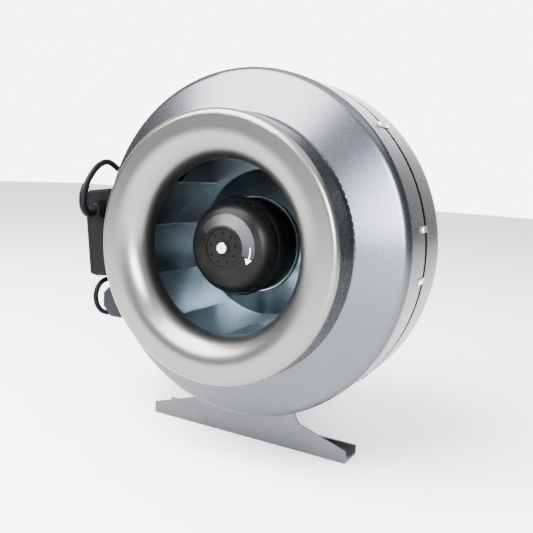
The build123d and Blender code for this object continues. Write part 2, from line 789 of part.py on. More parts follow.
upper_foot = [on_circle(casing_radius + bracket_slip, angle) for angle in foot_spans[0]]
lower_foot = [on_circle(casing_radius + bracket_slip, angle) for angle in foot_spans[1]]
plate_back = box_back - 0.05 - bracket_sheet
plate_ends = [across(box_point(0, plate_back, side * plate_half)) for side in (1, -1)]
with BuildPart() as box_bracket:
    with BuildSketch(cross_plane(box_middle - plate_width / 2)):
        with BuildLine():
            FilletPolyline(*upper_foot, *plate_ends, *lower_foot, radius=1.2)
            offset(amount=bracket_sheet, side=Side.RIGHT)
        make_face()
    extrude(amount=-plate_width)
    add(bracket_cutters, mode=Mode.SUBTRACT)
    with BuildSketch(box_plane(box_back)):
        with Locations((0, 30), (0, -30)):
            Circle(2.1)
    extrude(amount=-4, mode=Mode.SUBTRACT)
keep(box_bracket, "box_bracket")

keep(rivet_group(bracket_rivets), "box_bracket_rivets")

with BuildPart() as box_screws:
    with BuildSketch(box_plane(box_back + box_wall)):
        with Locations((0, 30), (0, -30)):
            Circle(3.6)
    extrude(amount=2)
    with BuildSketch(box_plane(box_back + box_wall)):
        with Locations((0, 30), (0, -30)):
            Circle(2.0)
    extrude(amount=-7)
keep(box_screws, "box_screws")

terminal_ways = 5
terminal_pitch = 9.0
with BuildPart() as terminal_block:
    with BuildSketch(box_plane(box_back + box_wall + 0.05)):
        Rectangle(20, terminal_ways * terminal_pitch - 0.05)
    extrude(amount=14)
    with BuildSketch(box_plane(box_back + box_wall + 10)):
        with GridLocations(12, terminal_pitch, 2, terminal_ways):
            Circle(2.2)
    extrude(amount=6, mode=Mode.SUBTRACT)
    with BuildSketch(box_plane(box_back + box_wall + 10)):
        with GridLocations(20, terminal_pitch, 1, terminal_ways - 1):
            Rectangle(20, 1.2)
    extrude(amount=6, mode=Mode.SUBTRACT)
keep(terminal_block, "terminal_block")

# ---------------------------------------------------------------- glands
def lead(route, radius):
    """A lead along a route of runs joined by arcs, each as large as its two runs allow.
    Prints its length, its radii and its volume over section times length."""
    points = [Vector(*place) for place in route]
    bends = []
    for before, here, after in zip(points, points[1:], points[2:]):
        first, second = here - before, after - here
        turn = radians(first.get_angle(second))
        bends.append(0.45 * min(first.length, second.length) / tan(turn / 2))
    with BuildPart() as tube:
        with BuildLine() as path:
            FilletPolyline(*points, radius=bends)
        with BuildSketch(Plane(origin=points[0], z_dir=points[1] - points[0])):
            Circle(radius)
        sweep(path=path.wires()[0])
    length = path.wires()[0].length
    solid = tube.part.volume / (pi * radius ** 2 * length)
    print(f"length {length:.1f}  radii {[round(bend, 1) for bend in bends]}  volume {solid:.4f}")
    return tube


thread_radius = gland_hole - 0.15
thread_length = 12.0        # through the wall and its locknut
gland_nut_length = 6.0

# Straight gland with a curved boot, which turns the motor's lead upwards.
motor_nut_radius = 11.0
motor_dome_radius = 8.0
motor_dome_length = 10.5
motor_boot_radius = 4.2
motor_boot_end = (-193.4, -52.2, 246.8)
motor_boot_route = [
    (-194.9, -33.0, 220.3),
    (-194.2, -42.0, 215.9),
    (-192.7, -51.2, 217.0),
    (-191.9, -57.6, 224.9),
    (-192.8, -57.0, 238.2),
    motor_boot_end,
]
with BuildPart() as motor_gland:
    with BuildSketch(front_wall_plane.offset(0.05)):
        RegularPolygon(motor_nut_radius, 6)
    extrude(amount=gland_nut_length)
    with BuildSketch(front_wall_plane.offset(0.05)):
        Circle(motor_dome_radius)
    extrude(amount=motor_dome_length)
    fillet(motor_gland.edges().filter_by(GeomType.CIRCLE).sort_by(Axis.Y)[0], 2.5)
    with BuildSketch(front_wall_plane.offset(1.0)):
        Circle(thread_radius)
    extrude(amount=-thread_length)
    add(lead(motor_boot_route, motor_boot_radius).part)
keep(motor_gland, "motor_gland")

# Elbow gland, which turns the mains lead forwards.
mains_nut_radius = 9.5
mains_elbow_radius = 6.2
mains_elbow_reach = 7.4
mains_boot_length = 24.0
mains_boot_root = 5.4
mains_boot_tip_radius = 3.9
mains_outlet = Vector(-0.17, -0.98, 0.08).normalized()
mains_corner = bottom_wall_plane.origin + bottom_wall_plane.z_dir * mains_elbow_reach
mains_tip = mains_corner + mains_outlet * mains_boot_length
with BuildPart() as mains_gland:
    with BuildSketch(bottom_wall_plane.offset(0.05)):
        RegularPolygon(mains_nut_radius, 6)
    extrude(amount=gland_nut_length / 2)
    with BuildSketch(bottom_wall_plane.offset(0.05)):
        Circle(mains_elbow_radius)
    extrude(amount=mains_elbow_reach - 0.05)
    with BuildSketch(bottom_wall_plane.offset(1.0)):
        Circle(thread_radius)
    extrude(amount=-thread_length)
    with Locations(mains_corner):
        Sphere(mains_elbow_radius)
    with BuildSketch(Plane(origin=mains_corner, z_dir=mains_outlet)):
        Circle(mains_elbow_radius)
    extrude(amount=mains_elbow_radius + 1.5)
    with BuildSketch(Plane(origin=mains_corner, z_dir=mains_outlet)):
        Circle(mains_boot_root)
    with BuildSketch(Plane(origin=mains_tip, z_dir=mains_outlet)):
        Circle(mains_boot_tip_radius)
    loft()
keep(mains_gland, "mains_gland")

with BuildPart() as gland_locknuts:
    for wall in (front_wall_plane, bottom_wall_plane):
        with BuildSketch(wall.offset(-box_wall - 0.05)):
            RegularPolygon(9.0, 6)
            Circle(gland_hole - 0.1, mode=Mode.SUBTRACT)
        extrude(amount=-3.5)
keep(gland_locknuts, "gland_locknuts")

# ---------------------------------------------------------------- run capacitor
cap_radius = 19.0
cover_radius = 18.4
cap_front = -27.0
cap_collar = 12.0
cap_back = 30.0
strap_inner = cap_radius + 0.05
cap_offset = casing_radius + slip + strap_sheet + strap_inner
cap_centre = on_circle(cap_offset, cap_angle)

with BuildPart() as capacitor:
    with BuildSketch(cross_plane(cap_front + cap_collar + 0.05)):
        with Locations(cap_centre):
            Circle(cap_radius)
    extrude(amount=cap_front + cap_collar + 0.05 - cap_back)
    fillet(capacitor.edges().filter_by(GeomType.CIRCLE).sort_by(Axis.Y)[-1], 2)
keep(capacitor, "capacitor")

with BuildPart() as capacitor_cover:
    with BuildSketch(cross_plane(cap_front)):
        with Locations(cap_centre):
            RegularPolygon(cover_radius, 8, major_radius=False, rotation=22.5)
    extrude(amount=-cap_collar)
    fillet(capacitor_cover.edges().filter_by(Axis.Y), 1.5)
    fillet(capacitor_cover.faces().sort_by(Axis.Y)[0].edges(), 1.2)
keep(capacitor_cover, "capacitor_cover")

with BuildPart() as capacitor_strap:
    with BuildSketch(cross_plane(strap_along - strap_width / 2)):
        with Locations(cap_centre):
            Circle(strap_inner + strap_sheet)
        with BuildSketch(mode=Mode.PRIVATE) as strap_foot:
            Circle(strap_seat)
            Circle(casing_radius + slip, mode=Mode.SUBTRACT)
            Polygon((0, 0), on_circle(250, cap_angle), on_circle(250, 219.5), align=None,
                    mode=Mode.INTERSECT)
        add(strap_foot.sketch)
        with Locations(cap_centre):
            Circle(strap_inner, mode=Mode.SUBTRACT)
    extrude(amount=-strap_width)
    add(strap_cutters, mode=Mode.SUBTRACT)
keep(capacitor_strap, "capacitor_strap")

keep(rivet_group(strap_rivets), "capacitor_rivets")

# ---------------------------------------------------------------- cords
grommet_wall = radial_plane(casing_radius, grommet_angle, grommet_along)
with BuildPart() as casing_grommet:
    with BuildSketch(grommet_wall.offset(0.05)):
        Circle(8.6)
    extrude(amount=2.4)
    fillet(casing_grommet.edges().group_by(Axis(grommet_wall.origin, grommet_wall.z_dir))[-1], 1.0)
    with BuildSketch(grommet_wall.offset(-3.2)):
        Circle(grommet_hole - 0.1)
    extrude(amount=3.4)
    with BuildSketch(grommet_wall.offset(-3.2)):
        Circle(8.0)
    extrude(amount=1.9)
    with BuildSketch(grommet_wall.offset(-4)):
        Circle(motor_lead_radius + 0.05)
    extrude(amount=8, mode=Mode.SUBTRACT)
keep(casing_grommet, "casing_grommet")

lead_start = around(casing_radius - 3.2, grommet_angle, grommet_along)
lead_away = around(casing_radius + 13.2, grommet_angle, grommet_along)
motor_lead = lead(
    [
        tuple(lead_start),
        tuple(lead_away),
        (-185.1, 27.0, 260.5),
        (-192.6, 11.9, 258.5),
        (-195.2, -2.1, 267.8),
        (-193.6, -18.6, 275.2),
        (-193.1, -36.0, 268.7),
        (-193.9, -48.3, 253.7),
        motor_boot_end,
    ],
    motor_lead_radius,
)
keep(motor_lead, "motor_lead")


def by_arm(radius, angle, along):
    """Point of the motor's lead inside the casing."""
    return tuple(around(radius, angle, along))


inner_lead = lead(
    [
        by_arm(lead_out_radius, lead_out_angle, core_back + 10.6),
        by_arm(lead_out_radius, lead_out_angle, 24.0),
        by_arm(44.0, lead_out_angle, 29.0),
        by_arm(66.0, lead_out_angle, 22.0),
        by_arm(92.0, lead_out_angle, 22.5),
        by_arm(118.0, lead_out_angle, 22.0),
        by_arm(133.0, 142.5, 24.0),
        by_arm(136.0, 151.0, 26.5),
        by_arm(145.0, grommet_angle, grommet_along),
        tuple(lead_start),
    ],
    motor_lead_radius,
)
keep(inner_lead, "motor_lead_inner")

tie_width = 3.6
with BuildPart() as lead_ties:
    for radius in (70.0, 104.0):
        tie_plane = Plane(origin=around(radius, lead_out_angle, 21.4), x_dir=(0, 1, 0),
                          z_dir=(cos(radians(lead_out_angle)), 0, sin(radians(lead_out_angle))))
        with BuildSketch(tie_plane):
            RectangleRounded(13.2, arm_width + 3.2, 2)
            RectangleRounded(10.8, arm_width + 0.8, 1, mode=Mode.SUBTRACT)
        extrude(amount=tie_width)
keep(lead_ties, "lead_ties")

cap_lead_radius = 2.0
cap_wall = cap_entry_plane.offset(-box_wall)
cap_lead = lead(
    [
        (cap_centre[0] - 4.0, cap_back, axis_height + cap_centre[1] + 8.0),
        (cap_centre[0] - 4.0, cap_back + 12.0, axis_height + cap_centre[1] + 8.0),
        tuple(cap_wall.origin + cap_wall.z_dir * 12.0),
        tuple(cap_wall.origin),
    ],
    cap_lead_radius,
)
keep(cap_lead, "capacitor_lead")

coil_centre = (-60.0, 150.0)
coil_inner = 29.75
coil_outer = 46.0
coil_base = 1.0             # the coil lies on its tie
layer = 2 * mains_lead_radius + 0.2
coil_top = coil_base + 2 * layer

with BuildPart() as mains_coil:
    with BuildSketch(Plane.XY.offset(coil_base)):
        with Locations(coil_centre):
            Circle(coil_outer + layer / 2)
            Circle(coil_inner - layer / 2, mode=Mode.SUBTRACT)
    extrude(amount=2 * layer)
    fillet(mains_coil.edges(), 2.6)
keep(mains_coil, "mains_coil")

first_layer = coil_base + layer / 2
mains_lead = lead(
    [
        tuple(mains_tip),
        (-196.3, -13.8, 140.6),
        (-197.4, -24.8, 134.2),
        (-197.2, -29.7, 122.5),
        (-196.2, -27.1, 110.2),
        (-195.6, -18.0, 101.4),
        (-195.2, -3.5, 98.4),
        (-193.4, 11.9, 95.4),
        (-189.0, 33.0, 89.6),
        (-179.5, 59.0, 76.0),
        (-165.0, 79.0, 55.5),
        (-147.5, 92.5, 33.0),
        (-125.0, 101.0, 13.5),
        (-100.5, 103.8, first_layer + 0.6),
        (coil_centre[0] - 20.0, coil_centre[1] - coil_outer, first_layer),
    ],
    mains_lead_radius,
)
keep(mains_lead, "mains_cord")

plug_x = coil_centre[0] + 37.0
plug_rear = coil_centre[1] - 22.0
plug_middle = coil_top + 9.3
tail = lead(
    [
        (coil_centre[0] + coil_outer * cos(radians(285)), coil_centre[1] + coil_outer * sin(radians(285)),
         coil_top - 1.0),
        (coil_centre[0] + 31.0, coil_centre[1] - 36.0, coil_top + 6.5),
        (plug_x, plug_rear, plug_middle),
    ],
    mains_lead_radius,
)
keep(tail, "mains_tail")

tie_sheet = 0.8
with BuildPart() as cord_tie:
    tie_middle = (coil_centre[0] - (coil_inner + coil_outer) / 2, coil_centre[1] - 6, coil_base + layer)
    with BuildSketch(Plane(origin=tie_middle, x_dir=(1, 0, 0), z_dir=(0, 1, 0))):
        Rectangle(coil_outer - coil_inner + layer + 2 * tie_sheet + 0.3, 2 * layer + 2 * tie_sheet + 0.1)
        Rectangle(coil_outer - coil_inner + layer + 0.3, 2 * layer + 0.1, mode=Mode.SUBTRACT)
    extrude(amount=12)
keep(cord_tie, "cord_tie")

plug_face = plug_rear + 52.0
plug_width = 24.0
plug_height = 18.4
with BuildPart() as plug_body:
    with BuildSketch(Plane(origin=(plug_x, plug_rear, plug_middle), x_dir=(1, 0, 0), z_dir=(0, 1, 0))):
        Circle(4.6)
    with BuildSketch(Plane(origin=(plug_x, plug_rear + 20, plug_middle), x_dir=(1, 0, 0), z_dir=(0, 1, 0))):
        Circle(6.6)
    loft()
    with BuildSketch(Plane(origin=(plug_x, plug_rear + 20, plug_middle), x_dir=(1, 0, 0), z_dir=(0, 1, 0))):
        RectangleRounded(plug_width - 8, plug_height - 4, 5)
    with BuildSketch(Plane(origin=(plug_x, plug_rear + 30, plug_middle), x_dir=(1, 0, 0), z_dir=(0, 1, 0))):
        RectangleRounded(plug_width, plug_height, 5)
    loft()
    with BuildSketch(Plane(origin=(plug_x, plug_rear + 30, plug_middle), x_dir=(1, 0, 0), z_dir=(0, 1, 0))):
        RectangleRounded(plug_width, plug_height, 5)
    extrude(amount=22)
    fillet(plug_body.faces().sort_by(Axis.Y)[-1].edges(), 1.2)
keep(plug_body, "plug_body")

with BuildPart() as plug_pins:
    with BuildSketch(Plane(origin=(plug_x, plug_face + 0.02, plug_middle), x_dir=(1, 0, 0), z_dir=(0, 1, 0))):
        with Locations((-6.35, 1.5), (6.35, 1.5)):
            Rectangle(1.5, 6.3)
        with Locations((0, -4.8)):
            Circle(2.4)
    extrude(amount=17.5)
keep(plug_pins, "plug_pins")
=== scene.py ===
"""Inline duct fan: materials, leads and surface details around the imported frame, in metres."""
import json
from math import cos, pi, radians, sin

import bpy
from mathutils import Matrix, Vector


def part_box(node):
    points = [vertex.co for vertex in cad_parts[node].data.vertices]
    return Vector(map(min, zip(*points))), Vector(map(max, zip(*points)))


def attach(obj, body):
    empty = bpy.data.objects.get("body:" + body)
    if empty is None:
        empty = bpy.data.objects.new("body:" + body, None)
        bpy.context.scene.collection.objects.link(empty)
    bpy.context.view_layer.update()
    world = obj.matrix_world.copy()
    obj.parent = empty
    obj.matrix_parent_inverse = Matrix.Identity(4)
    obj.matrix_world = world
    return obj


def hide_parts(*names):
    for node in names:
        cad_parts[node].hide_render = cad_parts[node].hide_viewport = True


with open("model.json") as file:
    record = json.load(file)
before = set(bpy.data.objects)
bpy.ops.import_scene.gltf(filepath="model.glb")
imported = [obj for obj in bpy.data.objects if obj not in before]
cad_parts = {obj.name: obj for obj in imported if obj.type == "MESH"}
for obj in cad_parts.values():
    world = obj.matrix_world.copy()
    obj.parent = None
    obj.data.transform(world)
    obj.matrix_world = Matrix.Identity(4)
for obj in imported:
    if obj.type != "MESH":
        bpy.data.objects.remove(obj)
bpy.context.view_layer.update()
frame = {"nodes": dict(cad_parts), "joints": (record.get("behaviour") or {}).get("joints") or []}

nodes = frame["nodes"]
spin = frame["joints"][0]
axis_z = spin["pos_m"][2]


# ---------------------------------------------------------------- camera
def look(place, yaw, pitch, roll, lens):
    """A camera at `place`, turned left by yaw and down by pitch from +Y, then rolled."""
    forward = Vector((-sin(yaw) * cos(pitch), cos(yaw) * cos(pitch), -sin(pitch)))
    level = Vector((cos(yaw), sin(yaw), 0))
    upright = level.cross(forward)
    right = cos(roll) * level + sin(roll) * upright
    up = -sin(roll) * level + cos(roll) * upright
    data = bpy.data.cameras.new("camera")
    data.lens = lens
    data.sensor_width = 36
    data.clip_start = 0.01
    camera = bpy.data.objects.new("camera", data)
    camera.matrix_world = Matrix.Translation(place) @ Matrix((right, up, -forward)).transposed().to_4x4()
    bpy.context.scene.collection.objects.link(camera)
    bpy.context.scene.camera = camera


look(Vector((0.3205, -0.5906, 0.2717)), yaw=0.48998, pitch=0.14019, roll=0.06056, lens=44.58)


# ---------------------------------------------------------------- material helpers
def new_material(name):
    """An empty node material: its node tree, its shader and a maker of wired-up nodes."""
    material = bpy.data.materials.new(name)
    material.use_nodes = True
    tree = material.node_tree
    shader = tree.nodes["Principled BSDF"]

    def node(kind, inputs=None, **settings):
        made = tree.nodes.new(kind)
        for key, value in settings.items():
            setattr(made, key, value)
        for key, value in (inputs or {}).items():
            socket = made.inputs[key]
            if isinstance(value, bpy.types.NodeSocket):
                tree.links.new(value, socket)
            else:
                socket.default_value = value
        return made

    def feed(socket, value):
        if isinstance(value, bpy.types.NodeSocket):
            tree.links.new(value, shader.inputs[socket])
        else:
            shader.inputs[socket].default_value = value

    return material, node, feed


def ramp(node, value, low, high):
    """A smooth mix between two colours by a 0 to 1 value."""
    made = node("ShaderNodeValToRGB", {"Fac": value})
    made.color_ramp.elements[0].color = (*low, 1)
    made.color_ramp.elements[1].color = (*high, 1)
    return made.outputs["Color"]


def spread(node, value, low, high):
    """A 0 to 1 value stretched to low..high."""
    return node("ShaderNodeMapRange", {"Value": value, "To Min": low, "To Max": high}).outputs["Result"]


def place(node, scale):
    """Object coordinates, stretched."""
    where = node("ShaderNodeTexCoord").outputs["Object"]
    return node("ShaderNodeMapping", {"Vector": where, "Scale": scale}).outputs["Vector"]


def noise(node, where, scale, detail=4.0, roughness=0.55):
    made = node("ShaderNodeTexNoise", {"Vector": where, "Scale": scale, "Detail": detail,
                                       "Roughness": roughness})
    return made.outputs["Fac"]


def sheet_metal(name, dark, light, rough, grain=(1, 1, 1), grain_scale=900.0, bump=0.04, metallic=1.0,
                cloud_scale=16.0):
    """Rolled or galvanised sheet: broad cloudiness, fine rolling grain and a few smudges."""
    material, node, feed = new_material(name)
    even = place(node, (1, 1, 1))
    cloud = noise(node, even, cloud_scale, 5)
    fine = noise(node, place(node, grain), grain_scale, 3, 0.6)
    smudge = noise(node, even, 60.0, 6, 0.7)
    blend = node("ShaderNodeMath", {0: cloud, 1: fine}, operation="ADD").outputs[0]
    blend = node("ShaderNodeMath", {0: blend, 1: 0.5}, operation="MULTIPLY").outputs[0]
    feed("Base Color", ramp(node, spread(node, blend, -0.35, 1.35), dark, light))
    feed("Metallic", metallic)
    rough_noise = node("ShaderNodeMath", {0: smudge, 1: fine}, operation="MULTIPLY").outputs[0]
    feed("Roughness", spread(node, rough_noise, rough - 0.05, rough + 0.14))
    feed("Normal", node("ShaderNodeBump", {"Height": fine, "Strength": bump, "Distance": 0.0004}).outputs[0])
    return material


def moulded(name, dark, light, rough, grain_scale=1400.0, bump=0.12, specular=0.5):
    """Moulded plastic, rubber or paint: a fine even grain and slight unevenness of tone."""
    material, node, feed = new_material(name)
    even = place(node, (1, 1, 1))
    grain = noise(node, even, grain_scale, 2)
    cloud = noise(node, even, 45.0, 5, 0.65)
    feed("Base Color", ramp(node, cloud, dark, light))
    feed("Roughness", spread(node, cloud, rough - 0.06, rough + 0.10))
    feed("Specular IOR Level", specular)
    feed("Normal", node("ShaderNodeBump", {"Height": grain, "Strength": bump, "Distance": 0.0003}).outputs[0])
    return material


def around_axis(node):
    """Angle around the fan's axis, and distance from it, as node sockets."""
    where = node("ShaderNodeTexCoord").outputs["Object"]
    parts = node("ShaderNodeSeparateXYZ", {"Vector": where})
    height = node("ShaderNodeMath", {0: parts.outputs["Z"], 1: axis_z}, operation="SUBTRACT").outputs[0]
    angle = node("ShaderNodeMath", {0: height, 1: parts.outputs["X"]}, operation="ARCTAN2").outputs[0]
    across = node("ShaderNodeMath", {0: parts.outputs["X"], 1: parts.outputs["X"]}, operation="MULTIPLY")
    up = node("ShaderNodeMath", {0: height, 1: height}, operation="MULTIPLY")
    total = node("ShaderNodeMath", {0: across.outputs[0], 1: up.outputs[0]}, operation="ADD").outputs[0]
    radius = node("ShaderNodeMath", {0: total, 1: 0.5}, operation="POWER").outputs[0]
    return angle, radius, parts.outputs["Y"]


def spun_metal(name, dark, light, rough, bump=0.03, rim_shade_from=None, rim_shade_tint=(1, 1, 1), seam=None):
    """Spun or pressed sheet: fine rings around the fan's axis over soft cloudiness.
    Beyond the given rim radius the colour is darkened and tinted green-grey as painted shade for the rim's
    darker reflection, and a band beside the `seam` is painted near black as painted shade in the seam groove."""
    material, node, feed = new_material(name)
    angle, radius, along = around_axis(node)
    slow = node("ShaderNodeMath", {0: angle, 1: 0.012}, operation="MULTIPLY").outputs[0]
    rings = node("ShaderNodeCombineXYZ", {"X": radius, "Y": along, "Z": slow}).outputs[0]
    fine = noise(node, rings, 1500.0, 4, 0.7)
    cloud = noise(node, place(node, (1, 1, 1)), 9.0, 5, 0.6)
    speck = noise(node, place(node, (1, 1, 1)), 420.0, 3, 0.6)
    blend = node("ShaderNodeMath", {0: cloud, 1: fine}, operation="ADD").outputs[0]
    blend = node("ShaderNodeMath", {0: blend, 1: 0.5}, operation="MULTIPLY").outputs[0]
    colour = ramp(node, spread(node, blend, -0.2, 1.2), dark, light)
    if rim_shade_from:
        # Painted shade: beyond the rim radius the colour is darkened and tinted green-grey, standing in for
        # the rim's darker reflection.
        share = node("ShaderNodeMapRange",
                     {"Value": radius, "From Min": rim_shade_from, "From Max": rim_shade_from + rim_shade_blend},
                     interpolation_type="SMOOTHSTEP").outputs["Result"]
        rim_shade_colour = ramp(node, share, (1, 1, 1), rim_shade_tint)
        colour = node("ShaderNodeMix", {0: 1.0, 6: colour, 7: rim_shade_colour}, data_type="RGBA",
                      blend_type="MULTIPLY").outputs[2]
        # Painted shade: a band of the sheet beside the seam is painted near black, standing in for the shade
        # in the seam groove.
        off = node("ShaderNodeMath", {0: along, 1: seam}, operation="SUBTRACT").outputs[0]
        off = node("ShaderNodeMath", {0: off}, operation="ABSOLUTE").outputs[0]
        clear = node("ShaderNodeMapRange", {"Value": off, "From Min": seam_shade_half_width - seam_shade_fade,
                                            "From Max": seam_shade_half_width}).outputs["Result"]
        seam_shade = ramp(node, clear, (0.02, 0.02, 0.02), (1, 1, 1))
        colour = node("ShaderNodeMix", {0: 1.0, 6: colour, 7: seam_shade}, data_type="RGBA",
                      blend_type="MULTIPLY").outputs[2]
    feed("Base Color", colour)
    feed("Metallic", 1.0)
    mixed = node("ShaderNodeMath", {0: speck, 1: fine}, operation="MULTIPLY").outputs[0]
    feed("Roughness", spread(node, mixed, rough - 0.02, rough + 0.06))
    feed("Normal", node("ShaderNodeBump", {"Height": fine, "Strength": bump, "Distance": 0.0003}).outputs[0])
    return material


def painted_sheen_strip(name):
    """The rotor label's silver strip with painted sheen: its colour along the arc is brightest part way along
    and fades to black at both ends.
    """
    material, node, feed = new_material(name)
    angle, radius, along = around_axis(node)
    # Painted sheen: the strip's colour is set by the angle around the fan's axis.
    share = node("ShaderNodeMapRange", {"Value": angle, "From Min": -0.25, "From Max": 2.6}).outputs["Result"]
    colour = node("ShaderNodeValToRGB", {"Fac": share})
    stops = colour.color_ramp.elements
    stops[0].color = (0.01, 0.01, 0.011, 1)
    stops[1].color = (0.004, 0.004, 0.004, 1)
    for position, value in ((0.12, (0.012, 0.012, 0.014, 1)), (0.35, (0.038, 0.036, 0.045, 1)),
                            (0.58, (0.028, 0.027, 0.032, 1)), (0.78, (0.008, 0.008, 0.009, 1))):
        stops.new(position).color = value
    feed("Base Color", colour.outputs["Color"])
    feed("Metallic", 0.6)
    feed("Roughness", spread(node, noise(node, place(node, (1, 1, 1)), 300.0), 0.38, 0.52))
    return material


# ---------------------------------------------------------------- materials
# The sheet metals' base colours are set for this studio and are darker than real coated steel.
rim_shade_blend = 0.004            # radial width over which the rim's painted shade comes in
seam_shade_half_width = 0.0034            # half width of the sheet band along the seam painted near black as painted shade in the seam groove
seam_shade_fade = 0.0004
rim_shade_start = 0.1655            # radius beyond which the casing counts as rim and gets the rim's painted shade
seam_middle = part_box("seam_band")[0][1] + seam_shade_half_width
# The casing's rim is darkened and tinted green-grey as painted shade, and its sheet beside the seam is
# painted near black as painted shade in the seam groove.
casing_steel = spun_metal("casing_steel", (0.072, 0.075, 0.082), (0.100, 0.104, 0.114), 0.27, bump=0.004,
                          rim_shade_from=rim_shade_start, rim_shade_tint=(0.42, 0.45, 0.40), seam=seam_middle)
nozzle_steel = spun_metal("nozzle_steel", (0.13, 0.127, 0.122), (0.18, 0.176, 0.170), 0.30)
foot_steel = sheet_metal("foot_steel", (0.07, 0.072, 0.076), (0.12, 0.123, 0.128), 0.40, grain=(0.05, 1, 1))
support_steel = sheet_metal("support_steel", (0.30, 0.31, 0.33), (0.46, 0.47, 0.49), 0.38)
impeller_steel = sheet_metal("impeller_steel", (0.15, 0.185, 0.21), (0.25, 0.295, 0.32), 0.34,
                             grain=(1, 0.06, 1))
clip_steel = sheet_metal("clip_steel", (0.28, 0.29, 0.28), (0.42, 0.43, 0.42), 0.35)
fastener_steel = sheet_metal("fastener_steel", (0.60, 0.60, 0.62), (0.85, 0.85, 0.87), 0.20, bump=0.02)
shaft_steel = sheet_metal("shaft_steel", (0.60, 0.60, 0.58), (0.85, 0.85, 0.82), 0.30)
lamination_steel = sheet_metal("lamination_steel", (0.14, 0.14, 0.15), (0.26, 0.26, 0.27), 0.50,
                               grain=(0.02, 1, 0.02), grain_scale=1600.0, bump=0.25)
bearing_steel = sheet_metal("bearing_steel", (0.52, 0.52, 0.54), (0.72, 0.72, 0.74), 0.16, bump=0.01)
cast_aluminium = sheet_metal("cast_aluminium", (0.46, 0.46, 0.47), (0.62, 0.62, 0.63), 0.50,
                             grain_scale=500.0, bump=0.30)
winding_copper = sheet_metal("winding_copper", (0.36, 0.13, 0.05), (0.62, 0.27, 0.12), 0.34,
                             grain=(1, 0.1, 1), grain_scale=700.0, bump=0.6)
pin_brass = sheet_metal("pin_brass", (0.60, 0.52, 0.36), (0.78, 0.70, 0.50), 0.24)
label_silver = painted_sheen_strip("label_silver")
rotor_black = moulded("rotor_black", (0.0010, 0.0011, 0.0011), (0.0027, 0.0028, 0.0027), 0.34, 900.0, 0.08,
                     specular=0.08)
cover_plastic = moulded("cover_plastic", (0.0018, 0.0021, 0.0018), (0.0048, 0.0051, 0.0042), 0.50,
                        specular=0.05)
box_plastic = moulded("box_plastic", (0.0018, 0.0019, 0.0021), (0.0042, 0.0045, 0.0048), 0.42, 1100.0, 0.15,
                     specular=0.05)
gland_plastic = moulded("gland_plastic", (0.0012, 0.0013, 0.0018), (0.0030, 0.0033, 0.0042), 0.40,
                        specular=0.06)
capacitor_plastic = moulded("capacitor_plastic", (0.0066, 0.0072, 0.0096), (0.0135, 0.0141, 0.0174), 0.45,
                             specular=0.06)
lead_rubber = moulded("lead_rubber", (0.0012, 0.0015, 0.0016), (0.0033, 0.0039, 0.0042), 0.36, 1700.0, 0.10,
                     specular=0.06)
soft_rubber = moulded("soft_rubber", (0.002, 0.002, 0.002), (0.006, 0.006, 0.006), 0.85, specular=0.0)
terminal_plastic = moulded("terminal_plastic", (0.62, 0.61, 0.56), (0.74, 0.73, 0.68), 0.45)
arrow_white = moulded("arrow_white", (0.70, 0.70, 0.70), (0.82, 0.82, 0.82), 0.50)

finishes = {
    casing_steel: ["inlet_casing", "outlet_casing"],
    nozzle_steel: ["inlet_nozzle"],
    foot_steel: ["foot_bracket"],
    support_steel: ["motor_support", "box_bracket", "capacitor_strap"],
    impeller_steel: ["impeller_backplate", "impeller_blades", "impeller_shroud"],
    clip_steel: ["seam_clips", "balance_clips"],
    fastener_steel: ["seam_rivets", "arm_rivets", "foot_rivets", "box_bracket_rivets", "capacitor_rivets",
                     "motor_screws", "box_screws", "box_lid_screws"],
    shaft_steel: ["rotor_shaft", "shaft_clip"],
    lamination_steel: ["stator_core"],
    bearing_steel: ["bearing_front", "bearing_rear"],
    cast_aluminium: ["motor_flange", "rotor_cage"],
    winding_copper: ["stator_windings"],
    pin_brass: ["plug_pins"],
    rotor_black: ["rotor_can", "rotor_label"],
    cover_plastic: ["rotor_cover"],
    box_plastic: ["box_base", "box_lid"],
    gland_plastic: ["motor_gland", "mains_gland", "gland_locknuts", "plug_body", "lead_ties", "cord_tie"],
    capacitor_plastic: ["capacitor", "capacitor_cover"],
    lead_rubber: ["motor_lead_inner", "capacitor_lead"],
    soft_rubber: ["seam_band", "box_gasket", "casing_grommet"],
    terminal_plastic: ["terminal_block"],
}


def finish_nodes():
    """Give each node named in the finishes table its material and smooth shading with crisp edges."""
    for material, names in finishes.items():
        for name in names:
            mesh = nodes[name].data
            mesh.materials.clear()
            mesh.materials.append(material)
            mesh.shade_smooth()
            mesh.set_sharp_from_angle(angle=radians(28))


finish_nodes()


# ---------------------------------------------------------------- leads
motor_diameter = 0.0065
mains_diameter = 0.0058


def flex(name, points, material, diameter):
    """A round lead: one smooth NURBS curve with these control points."""
    data = bpy.data.curves.new(name, "CURVE")
    data.dimensions = "3D"
    data.bevel_depth = diameter / 2
    data.bevel_resolution = 6
    data.resolution_u = 10
    data.use_fill_caps = True
    spline = data.splines.new("NURBS")
    spline.points.add(len(points) - 1)
    for point, where in zip(spline.points, points):
        point.co = (*where, 1)
    spline.order_u = 3
    spline.use_endpoint_u = True
    data.materials.append(material)
    piece = bpy.data.objects.new(name, data)
    bpy.context.scene.collection.objects.link(piece)
    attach(piece, "housing")
    return piece


motor_route = [
    (-0.15397, 0.0330, 0.25938),
    (-0.16931, 0.0330, 0.26518),
    (-0.1851, 0.0270, 0.2605),
    (-0.1926, 0.0119, 0.2585),
    (-0.1952, -0.0021, 0.2678),
    (-0.1936, -0.0186, 0.2752),
    (-0.1931, -0.0360, 0.2687),
    (-0.1939, -0.0483, 0.2537),
    (-0.1934, -0.0522, 0.2468),
]
motor_lead = flex("motor_flex", motor_route, lead_rubber, motor_diameter)
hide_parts("motor_lead")

